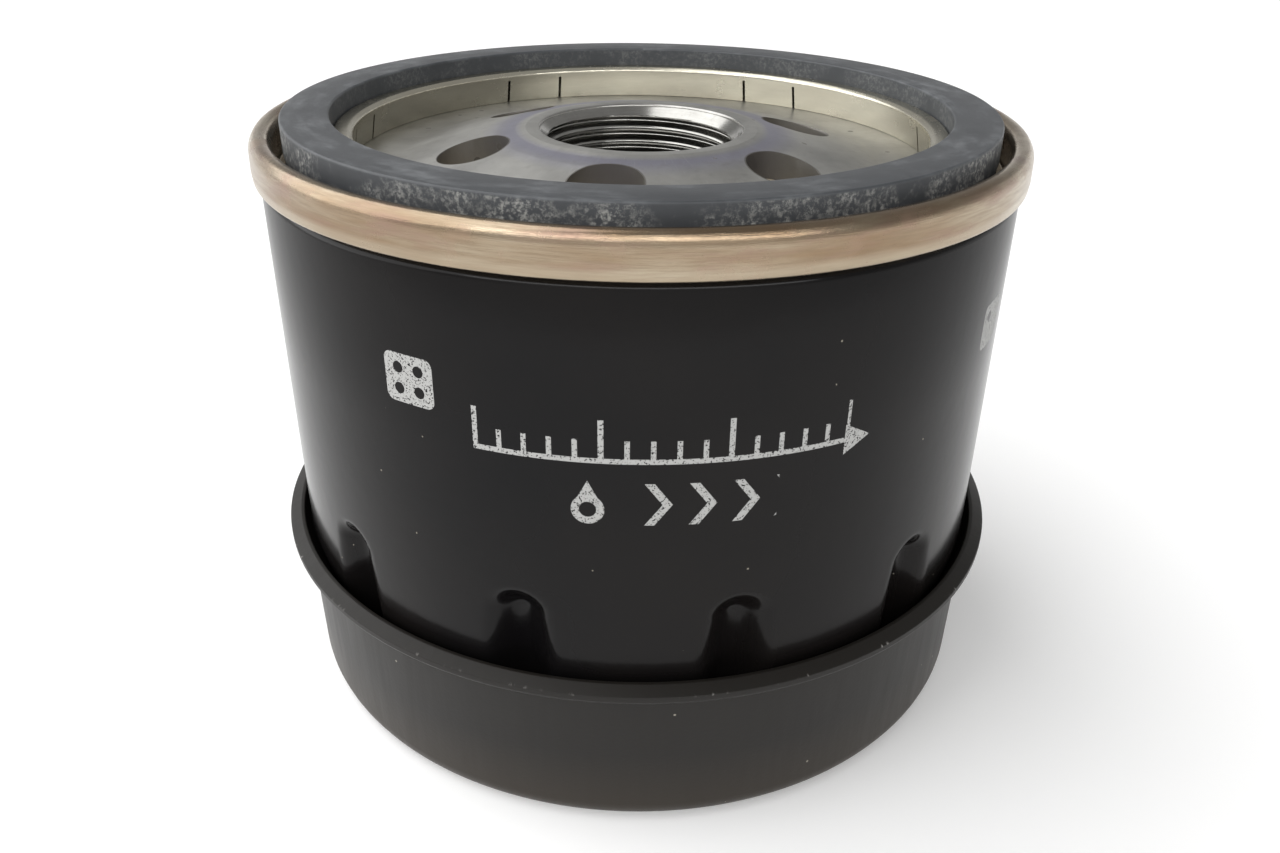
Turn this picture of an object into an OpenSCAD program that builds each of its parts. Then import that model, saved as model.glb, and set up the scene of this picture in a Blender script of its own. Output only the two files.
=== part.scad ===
// Spin-on oil filter, standing gasket up in a loose plastic drip cup.
// Millimetres. Z is up along the filter's axis, and Z = 0 is the bottom of the cup.

/* [Can] */
// Outer diameter of the painted can
can_d = 75.8; // [75:0.1:76.5]
// Height of the can's closed end above the bottom of the cup
can_bottom_z = 9.9; // [9.5:0.1:10.5]
// Outer radius of the corner round the closed end
can_corner_r = 9; // [8.5:0.1:9.5]
// Thickness of the can's sheet
can_t = 0.4; // [0.3:0.05:0.5]

/* [Wrench flutes] */
// Number of flutes round the closed end
flute_count = 12; // [8:1:15]
// Radius of each flute's hollow
flute_r = 3; // [2.8:0.1:4]
// Depth of each flute
flute_depth = 1.5; // [0.8:0.1:1.8]
// Height of the round top of each flute
flute_top_z = 26.6; // [24:0.1:30]

/* [Lid and seam] */
// Outer diameter of the rolled seam
seam_d = 77.16; // [77.16:0.02:77.3]
// Height of the top of the seam
seam_top_z = 59.9; // [59.8:0.05:60.1]
// Height of the bottom of the seam
seam_bottom_z = 55.9; // [55.8:0.05:56]
// Outer radius of the lid's inner rib, which the gasket sits against
rib_r = 30.85; // [30.6:0.05:30.85]
// Height of the top of the lid's inner rib
rib_top_z = 59.3; // [59:0.05:59.5]
// Number of crimp tabs in the inner wall
tab_count = 6; // [4:1:8]
// Angle that each crimp tab covers
tab_angle = 13.4; // [8:0.2:16]

/* [Gasket] */
// Outer diameter of the gasket
gasket_d = 71; // [70.5:0.1:71.5]
// Width of the gasket's section
gasket_w = 4.6; // [4.2:0.1:4.8]
// Height of the gasket's sealing face
gasket_top_z = 61.2; // [61:0.1:61.5]

/* [Tapping plate] */
// Nominal diameter of the thread
thread_d = 20; // [20:0.5:22]
// Pitch of the thread
thread_pitch = 1.5; // [1:0.25:1.5]
// Thickness of the plate
plate_t = 3; // [2.6:0.1:3.2]
// Number of inlet holes
inlet_count = 6; // [4:1:8]
// Radius of each inlet hole
inlet_r = 3.55; // [3:0.05:4]
// Distance of the inlet holes from the axis
inlet_ring_r = 17.6; // [17.2:0.1:18]

/* [Element] */
// Number of pleats
pleat_count = 60; // [40:1:66]
// Outer radius of the pleats
pleat_outer_r = 33; // [31:0.1:33.2]
// Thickness of the filter paper
paper_t = 0.5; // [0.4:0.05:0.6]
// Radius of the holes in the centre tube
tube_hole_r = 1.9; // [1.5:0.1:2.2]

/* [Bypass valve] */
// Radius of the bypass opening
bypass_r = 7; // [6:0.1:7.5]
// Mean radius of the bypass spring
spring_r = 5; // [4.5:0.1:5.5]
// Radius of the spring wire
wire_r = 0.45; // [0.3:0.05:0.5]
// Number of turns of the bypass spring
spring_turns = 5; // [4:1:6]

/* [Drip cup] */
// Outer diameter of the cup's rim
cup_rim_d = 80.4; // [80:0.1:81]
// Height of the cup
cup_h = 18.4; // [18:0.1:18.8]
// Number of rests inside the cup
rest_count = 8; // [6:1:10]

/* [Hidden] */
$fn = 96;
slack = 0.02;
contact_gap = 0.05;
beyond = 1;
can_r = can_d / 2;
neck_r = can_r - 0.6;
neck_z = seam_bottom_z - 0.7;
neck_h = 0.6;
hook_top_z = seam_top_z - 0.95;
panel_r = 21;
panel_h = 1;
flute_axis_r = can_r + flute_r - flute_depth;
flute_sphere_z = flute_top_z - sqrt(flute_r * flute_r - pow(flute_axis_r - can_r, 2));
flute_turn = -0.9 + 180 / flute_count;

seam_r = seam_d / 2;
lid_t = 0.45;
seam_roll_r = 0.9;
chuck_r = neck_r - can_t - slack;
cover_hook_r = neck_r + slack;
cover_hook_t = 0.38;
body_hook_r = cover_hook_r + cover_hook_t + slack;
body_hook_t = seam_r - lid_t - slack - body_hook_r;
lid_floor_z = seam_bottom_z - 0.2;
rib_w = 2.05;
rib_lean = 0.6;
rib_drop = 0.35;
slit_w = 0.35;
tab_turn = 27.6;
sealant_inset = 0.4;
gasket_r = gasket_d / 2;
gasket_bottom_z = lid_floor_z + lid_t;

plate_r = chuck_r - lid_t - 0.35;
plate_top_z = lid_floor_z;
hub_top_z = 58.6;
hub_flat_r = 14.3;
cone_foot_r = 24.6;
hub_neck_r = 12.3;
neck_bottom_z = 49;
bore_r = thread_d / 2 - 0.5413 * thread_pitch;
chamfer_r = thread_d / 2 + 0.35;
chamfer_h = 0.7;
inlet_turn = -10.4;
cone_slope = (hub_top_z - plate_top_z) / (cone_foot_r - hub_flat_r);

valve_t = 0.8;
valve_inner_r = hub_neck_r + 0.15;
valve_lip_r = 23;
valve_top_z = hub_top_z - plate_t - contact_gap;
retainer_z = 52.4;
retainer_t = 0.8;
retainer_r = 14.6;
collar_r = 14.2;
collar_bottom_z = 48.8;
collar_flange_t = 1;
collar_flange_r = 15.2;

cap_t = 0.4;
cap_r = 34;
cap_rim_h = 4;
potting_t = 0.8;
upper_cap_z = 49.2;
lower_cap_z = 17;
lower_face_z = lower_cap_z + cap_t;
tube_r = 17.9;
tube_t = 0.4;
tube_rows = 4;
tube_columns = 10;
pleat_inner_r = 18.3;
pleat_bottom_z = lower_face_z + potting_t;
pleat_top_z = upper_cap_z - potting_t;
half_pitch = 180 / pleat_count;
clip_w = 0.9;
clip_t = 0.25;
clip_inner_r = 26;
clip_outer_r = 32.4;

seat_h = 1;
seat_t = 0.4;
seal_t = 1;
seal_inner_r = bypass_r - 1;
seal_outer_r = bypass_r + 2;
seal_z = lower_face_z + seat_h + contact_gap;
disc_z = seal_z + seal_t;
disc_t = 0.8;
disc_r = seal_outer_r + 0.4;
boss_r = 3.2;
boss_h = 1.8;
spring_z = disc_z + disc_t;
cage_top_z = 30.2;
cage_t = 0.5;
cage_r = disc_r + 1.5;
cage_legs = 3;
cage_leg_w = 5;
cage_foot_w = 2.6;
ring_steps = 22;
wire_sides = 8;

spring_arm_count = 4;
arm_w = 7;
arm_t = 0.5;
arm_length = 13.2;
arm_slope = 27;
arm_ring_inner_r = 11;
arm_ring_outer_r = 16;

cup_wall_r = 38.5;
cup_foot_r = 38.1;
cup_corner_r = 2.5;
cup_wall_t = 1.2;
cup_floor_z = 1.7;
cup_recess_h = 0.6;
cup_recess_r = 30;
cup_rim_r = cup_rim_d / 2;
cup_mouth_r = can_r + 0.7;
cup_flare_z = 15;
cup_lip_z = cup_h - 1.8;
rest_inner_r = 25;
rest_w = 1.4;

// A flat ring: outer radius, inner radius, height of its underside, thickness.
module ring(outer_r, inner_r, z, h) {
    translate([0, 0, z])
        difference() {
            cylinder(r = outer_r, h = h);
            translate([0, 0, -beyond])
                cylinder(r = inner_r, h = h + 2 * beyond);
        }
}

// Copies of the children, evenly spaced round the axis.
module around(count, turn = 0) {
    for (i = [0 : count - 1])
        rotate([0, 0, turn + i * 360 / count])
            children();
}

// The solid inside the can's outer face, moved inwards by inset.
module can_body(inset) {
    corner = can_corner_r - inset;
    side_r = can_r - inset;
    corner_z = can_bottom_z + can_corner_r;
    difference() {
        rotate_extrude() {
            translate([0, can_bottom_z + inset])
                square([can_r - can_corner_r, neck_z - can_bottom_z - inset]);
            translate([0, corner_z])
                square([side_r, neck_z - corner_z]);
            intersection() {
                translate([can_r - can_corner_r, corner_z])
                    circle(r = corner);
                square([can_r, corner_z + corner]);
            }
            polygon([[0, neck_z], [side_r, neck_z], [neck_r - inset, neck_z + neck_h],
                [neck_r - inset, hook_top_z + inset], [0, hook_top_z + inset]]);
        }
        around(flute_count, flute_turn)
            translate([0, -flute_axis_r, 0]) {
                cylinder(r = flute_r + inset, h = flute_sphere_z);
                translate([0, 0, flute_sphere_z])
                    sphere(r = flute_r + inset);
            }
        cylinder(r = panel_r + inset, h = can_bottom_z + panel_h + inset);
    }
}

// Deep-drawn can: side wall, closed end with wrench flutes, and the hook inside the seam.
module can() {
    color([0.03, 0.03, 0.035]) {
        difference() {
            can_body(0);
            can_body(can_t);
        }
        ring(body_hook_r + body_hook_t, neck_r - can_t, hook_top_z - can_t, can_t);
        ring(body_hook_r + body_hook_t, body_hook_r, seam_bottom_z + 0.9, hook_top_z - seam_bottom_z - 0.9);
    }
}

// Thin tinned lid: gasket channel, inner wall with crimp tabs, and the rolled seam.
module seaming_lid() {
    color([0.78, 0.72, 0.6]) {
        difference() {
            rotate_extrude() {
                rib_section();
                translate([rib_r - lid_t, lid_floor_z])
                    square([chuck_r - rib_r + lid_t, lid_t]);
                translate([chuck_r - lid_t, lid_floor_z])
                    square([lid_t, seam_top_z - lid_floor_z - seam_roll_r]);
                seam_section();
            }
            around(tab_count, tab_turn)
                for (side = [-1, 1])
                    rotate([0, 0, side * tab_angle / 2])
                        translate([-slit_w / 2, -rib_r + 2 * lid_t, lid_floor_z - beyond])
                            cube([slit_w, 2 * beyond, rib_top_z - lid_floor_z]);
        }
    }
}

// Section of the inner rib: a folded wall whose free leg stands on the plate.
module rib_section() {
    inner_r = rib_r - rib_w;
    foot_r = inner_r + rib_lean;
    knee_z = rib_top_z - rib_drop;
    polygon([[rib_r, lid_floor_z], [rib_r, rib_top_z], [inner_r + rib_lean, rib_top_z - slack],
        [inner_r, knee_z], [foot_r, lid_floor_z], [foot_r + lid_t, lid_floor_z],
        [inner_r + lid_t, knee_z - lid_t], [rib_r - lid_t, rib_top_z - lid_t], [rib_r - lid_t, lid_floor_z]]);
}

// Section of the rolled seam: its top, outer wall and the hook inside.
module seam_section() {
    inside_r = seam_roll_r - lid_t;
    left_r = chuck_r - lid_t + seam_roll_r;
    right_r = seam_r - seam_roll_r;
    roll_z = seam_top_z - seam_roll_r;
    difference() {
        union() {
            translate([left_r, roll_z])
                square([right_r - left_r, seam_roll_r]);
            translate([chuck_r - lid_t, roll_z - lid_t])
                square([seam_r - chuck_r + lid_t, lid_t]);
            for (r = [left_r, right_r])
                translate([r, roll_z])
                    circle(r = seam_roll_r);
        }
        translate([chuck_r, roll_z - beyond])
            square([seam_r - lid_t - chuck_r, beyond]);
        translate([left_r, roll_z - beyond])
            square([right_r - left_r, beyond + inside_r]);
        for (r = [left_r, right_r])
            translate([r, roll_z])
                circle(r = inside_r);
    }
    translate([seam_r - lid_t, seam_bottom_z + lid_t])
        square([lid_t, roll_z - seam_bottom_z - lid_t]);
    intersection() {
        translate([seam_r - lid_t, seam_bottom_z + lid_t])
            circle(r = lid_t);
        translate([seam_r - lid_t, seam_bottom_z])
            square(lid_t);
    }
    translate([cover_hook_r, seam_bottom_z])
        square([seam_r - lid_t - cover_hook_r, lid_t]);
    translate([cover_hook_r, seam_bottom_z])
        square([cover_hook_t, hook_top_z - can_t - slack - seam_bottom_z]);
}

// Lining compound in the top of the seam.
module seam_sealant() {
    color([0.35, 0.4, 0.38])
        ring(seam_r - lid_t - sealant_inset, chuck_r + sealant_inset, hook_top_z + slack,
            seam_top_z - lid_t - hook_top_z - 2 * slack);
}

// Thick dished plate with the threaded hub and the ring of inlet holes.
module tapping_plate() {
    color([0.6, 0.6, 0.6])
        difference() {
            union() {
                rotate_extrude()
                    polygon([[0, hub_top_z], [hub_flat_r, hub_top_z], [cone_foot_r, plate_top_z],
                        [plate_r, plate_top_z], [plate_r, plate_top_z - plate_t],
                        [cone_foot_r, plate_top_z - plate_t], [hub_flat_r, hub_top_z - plate_t],
                        [0, hub_top_z - plate_t]]);
                translate([0, 0, neck_bottom_z])
                    cylinder(r = hub_neck_r, h = hub_top_z - beyond - neck_bottom_z);
            }
            translate([0, 0, neck_bottom_z - beyond])
                cylinder(r = bore_r, h = hub_top_z - neck_bottom_z + 2 * beyond);
            translate([0, 0, hub_top_z - chamfer_h])
                cylinder(r1 = bore_r, r2 = chamfer_r, h = chamfer_h + slack);
            around(inlet_count, inlet_turn)
                translate([0, -inlet_ring_r, plate_top_z - plate_t])
                    cylinder(r = inlet_r, h = 2 * plate_t);
        }
}

// Square-section rubber ring that seals against the engine.
module sealing_gasket() {
    color([0.2, 0.22, 0.24])
        ring(gasket_r, gasket_r - gasket_w, gasket_bottom_z, gasket_top_z - gasket_bottom_z);
}

// Height of the plate's underside, less the contact gap, at a radius on its cone.
function cone_under_z(r) = valve_top_z - (r - hub_flat_r) * cone_slope;

// Rubber flap that covers the inlet holes from below and seals with its outer lip.
module anti_drain_valve() {
    color([0.6, 0.5, 0.38])
        rotate_extrude()
            polygon([[valve_inner_r, valve_top_z - valve_t], [valve_inner_r, valve_top_z],
                [hub_flat_r, valve_top_z], [valve_lip_r, cone_under_z(valve_lip_r)],
                [valve_lip_r, cone_under_z(valve_lip_r) - valve_t], [hub_flat_r, valve_top_z - valve_t]]);
}

// Thin steel ring pressed on the hub's neck, which keeps the flap up.
module valve_retainer() {
    color([0.75, 0.75, 0.77])
        ring(retainer_r, hub_neck_r, retainer_z, retainer_t);
}

// Rubber collar that seals the element's upper end to the hub's neck.
module outlet_collar() {
    color([0.12, 0.12, 0.12]) {
        ring(collar_r, hub_neck_r, collar_bottom_z, retainer_z - collar_bottom_z);
        ring(collar_flange_r, hub_neck_r, retainer_z - collar_flange_t, collar_flange_t);
    }
}

// Stamped end cap over the top of the pleats, with a collar round the outlet.
module upper_end_cap() {
    color([0.8, 0.8, 0.78]) {
        ring(cap_r, collar_r, upper_cap_z, cap_t);
        ring(cap_r, cap_r - cap_t, upper_cap_z - cap_rim_h + cap_t, cap_rim_h);
        ring(collar_r + cap_t, collar_r, upper_cap_z, retainer_z - collar_flange_t - upper_cap_z);
    }
}

// Adhesive between the pleats and the upper end cap.
module upper_potting() {
    color([0.5, 0.35, 0.2])
        ring(cap_r - cap_t, tube_r, pleat_top_z, potting_t);
}

// A point at a radius and an angle, in degrees.
function polar(r, a) = [r * cos(a), r * sin(a)];

// Outline of one face of the folded paper: two points at each fold that it wraps, one at each that it fills.
function pleat_face(wrap_r, wrap_turn, fill_r, fill_turn) = [
    for (i = [0 : pleat_count - 1], k = [0 : 2])
        let (a = 2 * half_pitch * i, spread = paper_t / wrap_r * 180 / PI)
        k == 2 ? polar(fill_r, a + fill_turn) : polar(wrap_r, a + wrap_turn + (2 * k - 1) * spread)
];

// Folded paper of the element.
module pleated_medium() {
    color([0.85, 0.75, 0.5])
        translate([0, 0, pleat_bottom_z])
            linear_extrude(height = pleat_top_z - pleat_bottom_z)
                difference() {
                    polygon(pleat_face(pleat_outer_r, 0, pleat_inner_r + paper_t, half_pitch));
                    polygon(pleat_face(pleat_inner_r, -half_pitch, pleat_outer_r - paper_t, 0));
                }
}

// Folded metal strip that joins the two ends of the paper.
module media_seam_clip() {
    color([0.8, 0.8, 0.8])
        rotate([0, 0, half_pitch])
            translate([clip_inner_r, -clip_w / 2, pleat_bottom_z + contact_gap])
                difference() {
                    cube([clip_outer_r - clip_inner_r, clip_w, pleat_top_z - pleat_bottom_z - 2 * contact_gap]);
                    translate([-beyond, clip_t, -beyond])
                        cube([clip_outer_r - clip_inner_r + beyond - clip_t, clip_w - 2 * clip_t,
                            pleat_top_z - pleat_bottom_z + beyond]);
                }
}

// Perforated tube that holds the pleats open from inside.
module centre_tube() {
    length = upper_cap_z - lower_face_z;
    color([0.7, 0.7, 0.72])
        difference() {
            ring(tube_r, tube_r - tube_t, lower_face_z, length);
            for (row = [0 : tube_rows - 1])
                around(tube_columns, row % 2 * 180 / tube_columns)
                    translate([0, -tube_r + 2, lower_face_z + (row + 1) * length / (tube_rows + 1)])
                        rotate([90, 0, 0])
                            cylinder(r = tube_hole_r, h = 2 + beyond);
        }
}

// Adhesive between the pleats and the lower end cap.
module lower_potting() {
    color([0.5, 0.35, 0.2])
        ring(cap_r - cap_t, tube_r, lower_face_z, potting_t);
}

// Stamped end cap under the pleats, with the raised seat of the bypass opening.
module lower_end_cap() {
    color([0.8, 0.8, 0.78]) {
        ring(cap_r, bypass_r, lower_cap_z, cap_t);
        ring(cap_r, cap_r - cap_t, lower_cap_z, cap_rim_h);
        ring(bypass_r + seat_t, bypass_r, lower_cap_z, cap_t + seat_h);
    }
}

// Stamped bracket over the bypass valve, which holds the top of its spring.
module bypass_cage() {
    color([0.75, 0.75, 0.77]) {
        ring(cage_r, boss_r + 0.6, cage_top_z, cage_t);
        around(cage_legs) {
            translate([cage_r - cage_t, -cage_leg_w / 2, lower_face_z])
                cube([cage_t, cage_leg_w, cage_top_z - lower_face_z + cage_t]);
            translate([cage_r - cage_t, -cage_leg_w / 2, lower_face_z])
                cube([cage_foot_w, cage_leg_w, cage_t]);
        }
    }
}

// Moving plate of the bypass valve, with a boss that centres the spring.
module bypass_disc() {
    color([0.75, 0.7, 0.5]) {
        translate([0, 0, disc_z])
            cylinder(r = disc_r, h = disc_t);
        translate([0, 0, disc_z + disc_t])
            cylinder(r = boss_r, h = boss_h);
    }
}

// Rubber washer under the bypass disc.
module bypass_seal() {
    color([0.12, 0.12, 0.12])
        ring(seal_outer_r, seal_inner_r, seal_z, seal_t);
}

// Point on ring i, side j of the spring's wire.
function wire_point(i, j, start_z, rise) =
    let (turn = 360 * spring_turns * i / (ring_steps * spring_turns),
        side = 360 * j / wire_sides,
        r = spring_r + wire_r * cos(side))
    [r * cos(turn), r * sin(turn), start_z + rise * i / (ring_steps * spring_turns) + wire_r * sin(side)];

// Helical spring between the bypass disc and the cage.
module bypass_spring() {
    last = ring_steps * spring_turns;
    start_z = spring_z + wire_r + contact_gap;
    rise = cage_top_z - spring_z - 2 * (wire_r + contact_gap);
    points = [for (i = [0 : last], j = [0 : wire_sides - 1]) wire_point(i, j, start_z, rise)];
    sides = [for (i = [0 : last - 1], j = [0 : wire_sides - 1])
        let (k = (j + 1) % wire_sides)
        [i * wire_sides + j, i * wire_sides + k, (i + 1) * wire_sides + k, (i + 1) * wire_sides + j]];
    start = [[for (j = [0 : wire_sides - 1]) wire_sides - 1 - j]];
    end = [[for (j = [0 : wire_sides - 1]) last * wire_sides + j]];
    color([0.7, 0.7, 0.7])
        polyhedron(points = points, faces = concat(sides, start, end));
}

// Pressed leaf spring that holds the element up against the plate.
module element_spring() {
    color([0.55, 0.55, 0.58]) {
        ring(arm_ring_outer_r, arm_ring_inner_r, lower_cap_z - arm_t, arm_t);
        around(spring_arm_count, 180 / spring_arm_count)
            translate([arm_ring_outer_r - 1, -arm_w / 2, lower_cap_z - arm_t])
                rotate([0, arm_slope, 0])
                    cube([arm_length, arm_w, arm_t]);
    }
}

// Loose plastic cup under the filter, with rests that the closed end stands on.
module drip_cup() {
    color([0.1, 0.1, 0.095]) {
        difference() {
            rotate_extrude() {
                translate([cup_foot_r - cup_corner_r, cup_corner_r])
                    circle(r = cup_corner_r);
                polygon([[0, 0], [cup_foot_r - cup_corner_r, 0], [cup_foot_r, cup_corner_r],
                    [cup_wall_r, cup_lip_z], [cup_rim_r - 0.3, cup_lip_z + 0.3], [cup_rim_r, cup_lip_z + 0.6],
                    [cup_rim_r, cup_h - 0.3], [cup_rim_r - 0.3, cup_h], [0, cup_h]]);
            }
            cup_hollow();
            translate([0, 0, -beyond])
                cylinder(r = cup_recess_r, h = cup_recess_h + beyond);
        }
        intersection() {
            around(rest_count)
                translate([-rest_w / 2, -cup_wall_r + 0.6, cup_recess_h])
                    cube([rest_w, cup_wall_r - 0.6 - rest_inner_r, can_bottom_z - contact_gap - cup_recess_h]);
            cylinder(r = cup_foot_r - 0.5, h = cup_h);
        }
    }
}

// The hollow inside the cup, flared at its mouth.
module cup_hollow() {
    inner_foot_r = cup_foot_r - cup_wall_t;
    rotate_extrude() {
        translate([inner_foot_r - cup_corner_r, cup_floor_z + cup_corner_r])
            circle(r = cup_corner_r);
        polygon([[0, cup_floor_z], [inner_foot_r - cup_corner_r, cup_floor_z],
            [inner_foot_r, cup_floor_z + cup_corner_r], [cup_wall_r - cup_wall_t, cup_flare_z],
            [cup_mouth_r, cup_h + slack], [0, cup_h + slack]]);
    }
}

drip_cup();
can();
seaming_lid();
seam_sealant();
tapping_plate();
sealing_gasket();
anti_drain_valve();
valve_retainer();
outlet_collar();
upper_end_cap();
upper_potting();
pleated_medium();
media_seam_clip();
centre_tube();
lower_potting();
lower_end_cap();
bypass_cage();
bypass_disc();
bypass_seal();
bypass_spring();
element_spring();
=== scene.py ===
import logging
import math
from collections.abc import Callable, Sequence
from dataclasses import dataclass, field
from enum import Enum

import bmesh
import bpy
import numpy as np
from mathutils import Matrix, Vector


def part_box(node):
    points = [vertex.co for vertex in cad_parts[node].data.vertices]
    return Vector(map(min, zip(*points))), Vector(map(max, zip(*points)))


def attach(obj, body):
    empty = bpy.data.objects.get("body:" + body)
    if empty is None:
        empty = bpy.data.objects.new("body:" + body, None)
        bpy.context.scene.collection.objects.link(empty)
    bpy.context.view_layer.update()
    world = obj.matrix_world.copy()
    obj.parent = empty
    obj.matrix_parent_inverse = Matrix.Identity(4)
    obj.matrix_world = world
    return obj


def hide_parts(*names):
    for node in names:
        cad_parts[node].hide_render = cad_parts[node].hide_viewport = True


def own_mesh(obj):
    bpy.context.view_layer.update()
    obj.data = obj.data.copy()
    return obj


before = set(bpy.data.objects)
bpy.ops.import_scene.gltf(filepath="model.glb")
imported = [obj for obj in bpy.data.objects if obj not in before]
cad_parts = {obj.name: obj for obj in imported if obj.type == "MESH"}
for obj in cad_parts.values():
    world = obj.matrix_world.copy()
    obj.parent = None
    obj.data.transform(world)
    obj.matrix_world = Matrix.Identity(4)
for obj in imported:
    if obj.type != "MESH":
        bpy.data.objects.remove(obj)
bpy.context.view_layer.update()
NODES: dict[str, bpy.types.Object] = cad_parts
LOG = logging.getLogger("oil_filter")

MM = 0.001
TURN = 2 * math.pi
SEGMENTS = 288
SHARP_ANGLE = math.radians(32)

Outline = list[tuple[float, float]]
RadiusRule = Callable[[np.ndarray, np.ndarray, np.ndarray], np.ndarray]
Colour = tuple[float, float, float]


class Body(Enum):
    """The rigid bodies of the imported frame."""

    CUP = "cup"
    FILTER = "filter"
    DRAIN_VALVE = "drain_valve"
    BYPASS_VALVE = "bypass_valve"


# ---------------------------------------------------------------- node trees


class Sock:
    """An output socket that takes part in Python arithmetic.

    Args:
        graph: the graph that owns the socket.
        socket: the wrapped output socket.
    """

    def __init__(self, graph: "Graph", socket: bpy.types.NodeSocket) -> None:
        self.graph = graph
        self.socket = socket

    def math(self, operation: str, *others: "Sock | float") -> "Sock":
        """Returns a Math node's result, with this socket as its first value."""
        values = {i: v for i, v in enumerate((self, *others))}
        return self.graph.value("ShaderNodeMath", {"operation": operation}, values)

    def _swapped(self, operation: str, first: float) -> "Sock":
        """Returns a Math node's result, with this socket as its second value."""
        return self.graph.value("ShaderNodeMath", {"operation": operation}, {0: first, 1: self})

    def __add__(self, other: "Sock | float") -> "Sock":
        """Returns the sum."""
        return self.math("ADD", other)

    def __radd__(self, other: float) -> "Sock":
        """Returns the sum, this socket second."""
        return self._swapped("ADD", other)

    def __sub__(self, other: "Sock | float") -> "Sock":
        """Returns the difference."""
        return self.math("SUBTRACT", other)

    def __rsub__(self, other: float) -> "Sock":
        """Returns the difference, this socket second."""
        return self._swapped("SUBTRACT", other)

    def __mul__(self, other: "Sock | float") -> "Sock":
        """Returns the product."""
        return self.math("MULTIPLY", other)

    def __rmul__(self, other: float) -> "Sock":
        """Returns the product, this socket second."""
        return self._swapped("MULTIPLY", other)

    def __truediv__(self, other: "Sock | float") -> "Sock":
        """Returns the quotient."""
        return self.math("DIVIDE", other)

    def __rtruediv__(self, other: float) -> "Sock":
        """Returns the quotient, this socket second."""
        return self._swapped("DIVIDE", other)

    def __neg__(self) -> "Sock":
        """Returns the negated value."""
        return self * -1.0

    def __abs__(self) -> "Sock":
        """Returns the absolute value."""
        return self.math("ABSOLUTE")

    def __lt__(self, other: "Sock | float") -> "Sock":
        """Returns 1 where this value is the smaller, else 0."""
        return self.math("LESS_THAN", other)

    def __gt__(self, other: "Sock | float") -> "Sock":
        """Returns 1 where this value is the larger, else 0."""
        return self.math("GREATER_THAN", other)

    def either(self, other: "Sock") -> "Sock":
        """Returns the larger of two masks."""
        return self.math("MAXIMUM", other)

    def clear(self) -> "Sock":
        """Returns the value held between 0 and 1."""
        return self.math("MINIMUM", 1.0).math("MAXIMUM", 0.0)

    def ramp(self, low: float, high: float) -> "Sock":
        """Returns 0 below low and 1 above high, with a straight slope between."""
        return ((self - low) * (1.0 / (high - low))).clear()


class Graph:
    """Adds nodes to one tree.

    Args:
        tree: a shader or geometry node tree.
    """

    def __init__(self, tree: bpy.types.NodeTree) -> None:
        self.tree = tree

    def node(self, kind: str, settings: dict | None = None, inputs: dict | None = None) -> bpy.types.Node:
        """Makes a node.

        Args:
            kind: the node's type name.
            settings: attributes that are set first.
            inputs: values or sockets, by the input's name or number.

        Returns:
            The node.
        """
        made = self.tree.nodes.new(kind)
        for name, setting in (settings or {}).items():
            setattr(made, name, setting)
        for key, source in (inputs or {}).items():
            if isinstance(source, Sock):
                self.tree.links.new(source.socket, made.inputs[key])
            else:
                made.inputs[key].default_value = source
        return made

    def value(self, kind: str, settings: dict | None = None, inputs: dict | None = None,
              output: int | str = 0) -> Sock:
        """Makes a node and returns one of its outputs.

        Args:
            kind: the node's type name.
            settings: attributes that are set first.
            inputs: values or sockets, by the input's name or number.
            output: the output's name or number.

        Returns:
            The output, wrapped.
        """
        return Sock(self, self.node(kind, settings, inputs).outputs[output])

    def split(self, vector: Sock) -> tuple[Sock, Sock, Sock]:
        """Returns a vector's three parts."""
        made = self.node("ShaderNodeSeparateXYZ", inputs={0: vector})
        return Sock(self, made.outputs[0]), Sock(self, made.outputs[1]), Sock(self, made.outputs[2])

    def join(self, x: Sock | float, y: Sock | float, z: Sock | float) -> Sock:
        """Returns a vector made of three parts."""
        return self.value("ShaderNodeCombineXYZ", inputs={0: x, 1: y, 2: z})


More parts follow.
